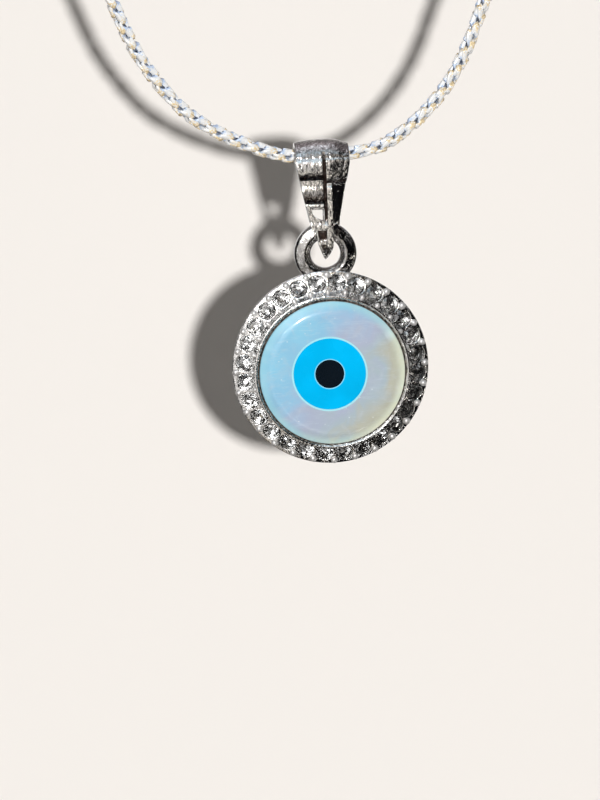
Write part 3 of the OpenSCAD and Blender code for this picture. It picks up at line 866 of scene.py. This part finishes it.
class PENDANT_OT_bail(bpy.types.Operator):
    """Fold the bail's strip and cut its window"""

    bl_idname = "pendant.bail"
    bl_label = "Folded bail"

    def execute(self, context):
        softness = context.scene.pendant_sizes.edge_softness / MM
        strip = linked("strip", new_mesh("strip", *bail_strip(softness)))
        plugs = [linked("plug", new_mesh("plug", *window_plug(front))) for front in (True, False)]
        for plug in plugs:
            cut = strip.modifiers.new("window", "BOOLEAN")
            cut.operation, cut.object, cut.solver = "DIFFERENCE", plug, "EXACT"
        mesh = bpy.data.meshes.new_from_object(strip.evaluated_get(context.evaluated_depsgraph_get()))
        mesh.name = "folded_bail"
        for spare in (*plugs, strip):
            bpy.data.objects.remove(spare)
        mesh.polygons.foreach_set("use_smooth", np.full(len(mesh.polygons), True))
        mesh.set_sharp_from_angle(angle=math.radians(50))
        finished(mesh, silver_material("polished silver"), "bail", ["bail"])
        return {"FINISHED"}


# Setting

# How much painted shade darkens the ring that the bail holds, from 0 to 1, dimming its bright reflections.
RING_PAINTED_SHADE = 0.55
# The ring: half its thickness, its hole's radius and its outer radius.
RING_HALF, RING_HOLE, RING_R = 0.65, 1.2, 2.55
# The slope of the halo's front, how far behind the bezel's ridge it starts, and the stones' radius.
HALO_TILT, CUP_RISE, STONE_R = math.radians(20), 1.55, 0.7
HALO_SLOPE = math.tan(HALO_TILT)
# Rows across the halo's sloping front, and steps round it for each stone.
FIELD_ROWS, STONE_STEPS = 52, 26
# Rows and columns of a bead, and the inner beads' share of the outer ones' size.
BALL_ROWS, BALL_COLUMNS, INNER_SHARE = 8, 14, 0.76
# The room for glue or setting round a disc, an inlay or a stone.
GLUE = 0.02
# The ridge of the bezel, the floor under the disc, the rim of the back, and the step round a stone's pocket.
RIDGE_W, BACK_T, BACK_RIM_W, POCKET_T = 0.05, 0.65, 2.4, 0.14
# How far in from the ridge and from the halo's edge the sloping front starts and ends.
FIELD_START, FIELD_END = 0.08, 0.06
# How far out from the bezel's inner edge the inner beads stand, and how much a bead strays.
INNER_BEADS, STRAY = 0.19, 0.012


def halo_part(sizes):
    """The cup and halo, turned about the eye's axis, with a pocket round each stone.

    At radius r and angle a, u and v are the distances along the slope, sideways and outwards, from the
    nearest stone's middle, and d is the root of u squared plus v squared. The pocket is a short step down at
    the stone's edge and then a slope that deepens with the seat's radius less d. Painted shade lies at the
    step.
    """
    bezel = sizes.bezel_width / MM
    back, front = SETTING_HIGH[1], SETTING_LOW[1]
    cup_r = DISC_R + GLUE
    ridge_out = cup_r + bezel + RIDGE_W
    ridge_in = ridge_out - 0.15
    foot = front + CUP_RISE
    step = 2 * np.pi / len(STONES)
    ring_r = ridge_out + STONE_R + GLUE
    floor = DISC_HIGH[1] + GLUE
    edge_y = foot + (HALO_R - ridge_out) * HALO_SLOPE
    inner = filleted([
        (0, floor), (cup_r, floor), (cup_r, front + 0.16), (ridge_in, front), (ridge_out, front + 0.06),
        (ridge_out, foot), (ridge_out + FIELD_START, foot + 0.03),
    ], 0.05, 3)
    outer = filleted([
        (HALO_R - FIELD_END, edge_y - 0.02), (HALO_R, edge_y + 0.03), (HALO_R - 0.02, edge_y + 0.12),
        (HALO_R - 0.22, back - 0.15), (HALO_R - 0.35, back), (HALO_R - BACK_RIM_W, back),
        (HALO_R - BACK_RIM_W - 0.15, floor + BACK_T), (0, floor + BACK_T),
    ], 0.08, 3)
    field_r = np.linspace(ridge_out + FIELD_START, HALO_R - FIELD_END, FIELD_ROWS)[1:-1]
    field = np.stack([field_r, foot + (field_r - ridge_out) * HALO_SLOPE], -1)
    profile = np.concatenate([inner, field, outer])
    steps = STONE_STEPS * len(STONES)
    angle = np.arange(steps) * 2 * np.pi / steps
    off = (angle / step) % 1 * step - step / 2
    u = field_r[:, None] * np.sin(off)
    v = (field_r[:, None] * np.cos(off) - ring_r) / math.cos(HALO_TILT)
    d = np.hypot(u, v)
    wall = np.clip((STONE_R + 0.03 - d) / 0.06, 0, 1)
    pocket = POCKET_T * wall * wall * (3 - 2 * wall) + np.clip(0.8 * (STONE_R - 0.06 - d), 0, 0.4)
    height, dark = np.zeros((2, len(profile), steps))
    sloping = slice(len(inner), len(inner) + len(field))
    height[sloping] = pocket
    # Painted shade round the step of each stone's pocket.
    dark[sloping] = 0.35 * wall * smooth(STONE_R - 0.25, STONE_R, d)
    rings = profile[:, 0] > 1e-9
    body = moved(lathe(profile, steps, height[rings]), EYE)
    return body, dark[rings].ravel(), ridge_in, ridge_out, foot


def ball(radius):
    """A round bead: its profile is half a circle, turned about the Y axis."""
    a = np.linspace(0, np.pi, BALL_ROWS + 1)
    profile = np.stack([radius * np.sin(a), -radius * np.cos(a)], -1)
    profile[[0, -1], 0] = 0
    return lathe(profile, BALL_COLUMNS)


class PENDANT_OT_setting(bpy.types.Operator):
    """Turn the cup, the halo and its ring, and raise the beads that hold the stones"""

    bl_idname = "pendant.setting"
    bl_label = "Halo setting"

    def execute(self, context):
        sizes = context.scene.pendant_sizes
        halo, dark, ridge_in, ridge_out, foot = halo_part(sizes)
        beads = []
        bead = sizes.bead_size / MM
        chance = np.random.default_rng(7)
        for i in range(len(STONES)):
            angle = 2 * np.pi * i / len(STONES)
            for r, size in ((HALO_R - bead / 2, bead), (ridge_in + INNER_BEADS, INNER_SHARE * bead)):
                r = r + chance.normal(0, STRAY)
                y = foot + (r - ridge_out) * HALO_SLOPE
                place = (r * math.sin(angle), y, EYE_Z + r * math.cos(angle))
                beads.append(moved(ball(size / 2 * chance.uniform(0.92, 1.04)), place))
        piece("halo_beads", beads, silver_material("satin silver"), "drop")
        side = [(RING_HOLE + 0.5, RING_HALF), (RING_HOLE, RING_HALF - 0.4)]
        rim = [(RING_R, RING_HALF - 0.4), (RING_R - 0.15, RING_HALF - 0.25)]
        ring = [(r, -y) for r, y in reversed(rim + side)] + rim + side
        hoop = moved(lathe(ring_profile(ring, 0.2), RING_STEPS), (0, 0, RING_Z))
        # dark has no numbers for the two points that close the cup on its axis, so they take the ring's
        # painted shade, and the ring's last two points have none.
        shade = np.concatenate([dark, np.full(len(hoop[0]), RING_PAINTED_SHADE)])
        silver = silver_material("polished silver")
        piece("halo_setting", [halo, hoop], silver, "drop", ["setting"], shade)
        return {"FINISHED"}


# Eye

# The bevel on the disc's rim, how far the shell stands off the inlays and the blue from the black, and how
# round the inlays' edges are.
BEVEL_W, BEVEL_H, SEAM, INLAY_EDGE = 0.9, 0.45, 0.004, 0.015


class PENDANT_OT_eye(bpy.types.Operator):
    """Turn the shell disc and its blue and black inlays"""

    bl_idname = "pendant.eye"
    bl_label = "Shell eye"

    def execute(self, context):
        colours = context.scene.pendant_colours
        front, back, depth = DISC_LOW[1], DISC_HIGH[1], IRIS_HIGH[1]
        inlay = (INLAY_X, 0, EYE_Z)
        disc = [(0, back), (DISC_R, back), (DISC_R, front + BEVEL_H), (DISC_R - BEVEL_W, front),
                (IRIS_R + SEAM, front), (IRIS_R + SEAM, depth + GLUE), (0, depth + GLUE)]
        points, faces = lathe(filleted(disc, [0, 0.05, 0.12, 0.25, 0.01, 0.01, 0]), DISC_STEPS)
        reach = np.hypot(points[:, 0], points[:, 2])
        points[:, 0] += INLAY_X * (1 - smooth(IRIS_R + 0.05, DISC_R - 1, reach))
        shell = moved((points, faces), EYE)
        piece("shell_eye", [shell], shell_material(), "drop", ["shell_disc"])
        iris = [(PUPIL_R + SEAM, depth), (IRIS_R, depth), (IRIS_R, front), (PUPIL_R + SEAM, front)]
        blue = inlay_material("blue inlay", colours.blue, PUPIL_R + 0.02, (0.3, 0.75, 0.98, 1), 0.1)
        part = moved(lathe(ring_profile(iris, INLAY_EDGE), IRIS_STEPS), inlay)
        piece("blue_inlay", [part], blue, "drop", ["blue_iris"])
        pupil = [(0, depth), (PUPIL_R, depth), (PUPIL_R, front), (0, front)]
        black = inlay_material("black inlay", colours.pupil, PUPIL_R + 0.2, (0.1, 0.3, 0.4, 1), 0.15)
        part = moved(lathe(filleted(pupil, INLAY_EDGE), PUPIL_STEPS), inlay)
        piece("black_inlay", [part], black, "drop", ["black_pupil"])
        return {"FINISHED"}


# Stones

class PENDANT_OT_stones(bpy.types.Operator):
    """Give the halo's stones their clear bright finish"""

    bl_idname = "pendant.stones"
    bl_label = "Halo stones"

    def execute(self, context):
        material = stone_material()
        for name in STONES:
            dress(frame["nodes"][name].data, material)
        return {"FINISHED"}


# Stage

# The view: degrees round from the front and above it, the head's tilt, and the distance in millimetres.
VIEW_TURN, VIEW_RISE, VIEW_TILT, VIEW_DISTANCE = -3.5, 12.5, 2.4, 900
# The photo's scale and its height in pixels, and the width of the camera's sensor in millimetres.
PIXELS_PER_MM, FRAME_HEIGHT, SENSOR = 12.3, 800, 36
# How far behind the chain the wall stands.
WALL_Y = 28
# Where the middle of the picture lies, right of and above the chain's seat in the bail, in millimetres.
MIDDLE = (-1.72, -20.0)

# The studio as polished metal sees it: degrees round and up, inner and outer half angles, brightness, colour.
SOFT_BOXES = [
    (-38, -12, 12, 24, 0.85, (1.0, 0.99, 0.97)), (-30, 15, 10, 24, 0.85, (1.0, 0.99, 0.98)),
    (-50, 40, 10, 26, 0.8, (0.97, 0.98, 1.0)), (-8, 50, 8, 20, 2.4, (0.72, 0.88, 1.0)),
    (-8, 4, 7, 19, 1.1, (1.0, 0.97, 0.93)), (0, 27, 6, 18, 1.3, (1.0, 0.9, 0.8)),
    (-2, -24, 4, 12, 1.2, (1.0, 0.95, 0.86)),
    (-32, -44, 6, 16, 0.65, (1.0, 0.95, 0.88)), (-60, -55, 4, 14, 0.5, (1.0, 0.84, 0.58)),
    (-44, 8, 1, 4, 6.0, (1, 1, 1)), (-33, 20, 1, 4, 6.0, (1, 1, 1)), (-21, 32, 1, 4, 6.0, (1, 1, 1)),
    (0, 90, 5, 14, 1.2, (0.8, 0.9, 1.0)), (0, 105, 10, 40, 0.45, (1.0, 0.9, 0.95)),
    (50, 12, 1.5, 4, 7.0, (1, 1, 1)), (75, 30, 3, 7, 1.6, (0.9, 0.95, 1)),
    (85, -10, 8, 24, 0.12, (1.0, 0.93, 0.8)), (62, -25, 1.5, 4, 7.0, (1, 0.96, 0.9)),
    (30, -52, 1.5, 4, 7.0, (1, 1, 1)), (28, 62, 3, 8, 1.2, (0.9, 0.95, 1)),
    (180, -5, 20, 60, 0.6, (1.0, 0.97, 0.95)), (140, -5, 15, 40, 0.5, (1, 1, 1)),
    (-140, -5, 15, 40, 0.5, (1, 1, 1)),
]
# The even light on matt surfaces, the light between the boxes, and the scale of the boxes' patches.
AMBIENT, DARK, PATCHES = 0.127, (0.006, 0.006, 0.007), 6.5
# The light that shines through the stones: degrees round and up, and its brightness.
GLOW_TURN, GLOW_RISE, GLOW = -62, 22, 22.0
# Each sun: its name, degrees round and up, strength, spread in degrees, and whether it lights matt surfaces.
SUNS = [("key", VIEW_TURN + 7.6, 10.3, 2.79, 2.6, True), ("glint", -18, 24, 1.35, 5, False)]


def direction(turn, rise):
    """The unit vector towards a place that many degrees round from the front and above it."""
    turn, rise = math.radians(turn), math.radians(rise)
    return Vector((math.sin(turn) * math.cos(rise), -math.cos(turn) * math.cos(rise), math.sin(rise)))


def studio_world(backdrop):
    """A world that is plain to the camera, even to matt surfaces, and soft boxes in the dark to shiny ones.

    What shines through the stones is one glow, broken up in sparks.
    """
    world = bpy.data.worlds.new("studio")
    world.use_nodes = True
    shader = Shader(world.node_tree)
    shader.nodes.clear()
    way = shader.add("ShaderNodeTexCoord").outputs["Generated"]
    light = DARK
    for turn, rise, inner, outer, brightness, colour in SOFT_BOXES:
        facing = shader.vectors("DOT_PRODUCT", in_0=way, in_1=direction(turn, rise))
        box = shader.ranged(facing, math.cos(math.radians(outer)), math.cos(math.radians(inner)))
        light = shader.vectors("MULTIPLY_ADD", in_0=box, in_1=[brightness * c for c in colour], in_2=light)
    cells = shader.add("ShaderNodeTexVoronoi", Vector=way, Scale=PATCHES).outputs["Color"]
    chance = shader.add("ShaderNodeSeparateColor", Color=cells).outputs[0]
    path = shader.add("ShaderNodeLightPath").outputs
    light = shader.vectors("SCALE", in_0=light, Scale=shader.ranged(chance, 0.3, 0.75, 0.35, 1.5))
    facing = shader.vectors("DOT_PRODUCT", in_0=way, in_1=direction(GLOW_TURN, GLOW_RISE))
    spark = shader.ranged(chance, 0.4, 0.7, 0.3, 1.7)
    glow = shader.maths("MULTIPLY", shader.ranged(facing, 0.7, 0.96, 0.01, GLOW), spark)
    light = shader.mix(path["Is Transmission Ray"], light, glow)
    seen = shader.add("ShaderNodeBackground", Color=list(backdrop), Strength=1.0).outputs[0]
    even = shader.add("ShaderNodeBackground", Color=(1, 1, 1, 1), Strength=AMBIENT).outputs[0]
    lit = shader.add("ShaderNodeBackground", Color=light, Strength=1.0).outputs[0]
    matt = shader.add("ShaderNodeMixShader", in_0=path["Is Diffuse Ray"], in_1=lit, in_2=even).outputs[0]
    mixed = shader.add("ShaderNodeMixShader", in_0=path["Is Camera Ray"], in_1=matt, in_2=seen).outputs[0]
    shader.add("ShaderNodeOutputWorld", Surface=mixed)
    world.cycles.sampling_method = "NONE"
    bpy.context.scene.world = world


def camera():
    """The camera: looks at the middle of the picture from the view's turn and rise, with the head tilted."""
    back = direction(VIEW_TURN, VIEW_RISE)
    right = Vector((0, 0, 1)).cross(back).normalized()
    up = back.cross(right)
    tilt = math.radians(VIEW_TILT)
    tilted_right = right * math.cos(tilt) - up * math.sin(tilt)
    tilted_up = up * math.cos(tilt) + right * math.sin(tilt)
    target = Vector((0, 0, BAIL_Z)) + tilted_right * MIDDLE[0] + tilted_up * MIDDLE[1]
    data = bpy.data.cameras.new("camera")
    data.sensor_width = SENSOR
    data.lens = SENSOR * VIEW_DISTANCE / (FRAME_HEIGHT / PIXELS_PER_MM)
    data.clip_start, data.clip_end = 0.01, 20
    obj = linked("camera", data)
    place = Matrix.Translation((target + back * VIEW_DISTANCE) * MM)
    obj.matrix_world = place @ Matrix((tilted_right, tilted_up, back)).transposed().to_4x4()
    bpy.context.scene.camera = obj


def cove(backdrop):
    """A plain pale floor far below the pendant that curves up into a wall close behind it.

    The wall is not seen from behind, so that the pendant's back can be looked at.
    """
    material, shader, bsdf = new_material("pale cove")
    shader.put(bsdf, Base_Color=[0.98 * c for c in backdrop[:3]] + [1], Roughness=1, Specular_IOR_Level=0)
    behind = shader.add("ShaderNodeNewGeometry").outputs["Backfacing"]
    seen = shader.add("ShaderNodeLightPath").outputs["Is Camera Ray"]
    hidden = shader.maths("MULTIPLY", behind, seen)
    clear = shader.add("ShaderNodeBsdfTransparent").outputs[0]
    mixed = shader.add("ShaderNodeMixShader", in_0=hidden, in_1=bsdf.outputs[0], in_2=clear)
    shader.put(shader.nodes["Material Output"], Surface=mixed.outputs[0])
    wide, high, near, curve, ground = 900, 600, -400, 60, SETTING_LOW[2] - 700
    a = np.linspace(0, np.pi / 2, 13)
    y = np.concatenate([[near], WALL_Y - curve + curve * np.sin(a), [WALL_Y]])
    z = np.concatenate([[ground], ground + curve - curve * np.cos(a), [high]])
    points = np.concatenate([np.stack([0 * y + x, y, z], -1) for x in (-wide, wide)])
    i = np.arange(len(y) - 1)
    faces = np.stack([i, len(y) + i, len(y) + i + 1, i + 1], -1)
    mesh = new_mesh("cove", points, [faces])
    dress(mesh, material)
    obj = linked("cove", mesh)
    obj.visible_glossy = obj.visible_transmission = False


def sun(name, turn, rise, energy, spread, matt):
    """A soft sun that lights either the matt surfaces, and throws the shadow, or the polished ones alone."""
    light = bpy.data.lights.new(name, "SUN")
    light.energy = energy
    light.angle = math.radians(spread)
    obj = linked(name, light)
    obj.matrix_world = direction(turn, rise).to_track_quat("Z", "Y").to_matrix().to_4x4()
    obj.visible_glossy, obj.visible_transmission, obj.visible_diffuse = not matt, not matt, matt


class PENDANT_OT_stage(bpy.types.Operator):
    """Lay the pale cove, light the studio and place the camera"""

    bl_idname = "pendant.stage"
    bl_label = "Stage"

    def execute(self, context):
        backdrop = context.scene.pendant_colours.backdrop
        context.scene.view_settings.view_transform = "Standard"
        studio_world(backdrop)
        cove(backdrop)
        for values in SUNS:
            sun(*values)
        camera()
        return {"FINISHED"}


# Panel

OPERATORS = (
    PENDANT_OT_stage, PENDANT_OT_chain, PENDANT_OT_clasp, PENDANT_OT_bail, PENDANT_OT_setting,
    PENDANT_OT_eye, PENDANT_OT_stones,
)


class PENDANT_PT_panel(bpy.types.Panel):
    """The pendant's pieces, in the order that they are made"""

    bl_idname = "PENDANT_PT_panel"
    bl_label = "Evil Eye Pendant"
    bl_space_type = "VIEW_3D"
    bl_region_type = "UI"
    bl_category = "Pendant"

    def draw(self, context):
        for group in (context.scene.pendant_sizes, context.scene.pendant_colours):
            for name in group.__annotations__:
                self.layout.prop(group, name)
        for operator in OPERATORS:
            self.layout.operator(operator.bl_idname)


CLASSES = (PendantSizes, PendantColours, *OPERATORS, PENDANT_PT_panel)


def register():
    """Registers the classes and gives the scene its settings."""
    for cls in CLASSES:
        bpy.utils.register_class(cls)
    bpy.types.Scene.pendant_sizes = bpy.props.PointerProperty(type=PendantSizes)
    bpy.types.Scene.pendant_colours = bpy.props.PointerProperty(type=PendantColours)


def unregister():
    """Takes the settings and the classes away again."""
    del bpy.types.Scene.pendant_colours
    del bpy.types.Scene.pendant_sizes
    for cls in reversed(CLASSES):
        bpy.utils.unregister_class(cls)


def main():
    """Makes every piece in order."""
    register()
    for operator in OPERATORS:
        group, name = operator.bl_idname.split(".")
        getattr(getattr(bpy.ops, group), name)()


if __name__ == "__main__":
    main()
